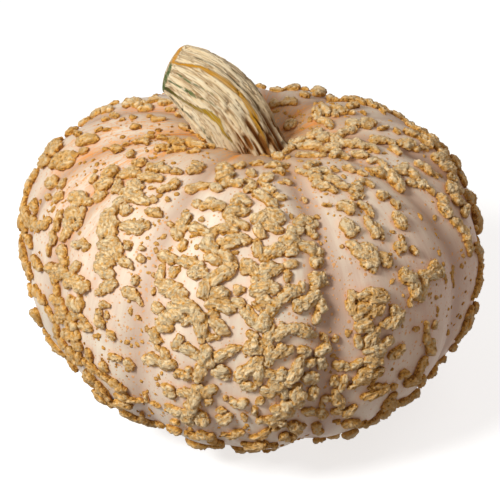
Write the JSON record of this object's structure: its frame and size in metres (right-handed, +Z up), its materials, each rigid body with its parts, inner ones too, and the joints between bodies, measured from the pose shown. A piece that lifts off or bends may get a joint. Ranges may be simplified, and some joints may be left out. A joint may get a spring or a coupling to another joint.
{
  "type": "winter squash",
  "caption": "Low, ribbed, pale pink winter squash covered in tan corky warts, with a thick curved corky stem; rests on a small flat spot.",
  "frame": {"origin": "on the flat spot that the squash rests on, straight below the middle of the fruit", "axes": "+Z up, +X to the right and +Y away from the viewer in the pictured view; the stem bends toward -X"},
  "size_m": [0.2998, 0.2986, 0.2382],
  "materials": {
    "skin": "smooth waxy pink skin with rough tan warts",
    "stem": "dry fissured cork with olive and yellow stripes"
  },
  "bodies": {
    "root": {"fruit": "skin", "stem": "stem"}
  },
  "joints": []
}
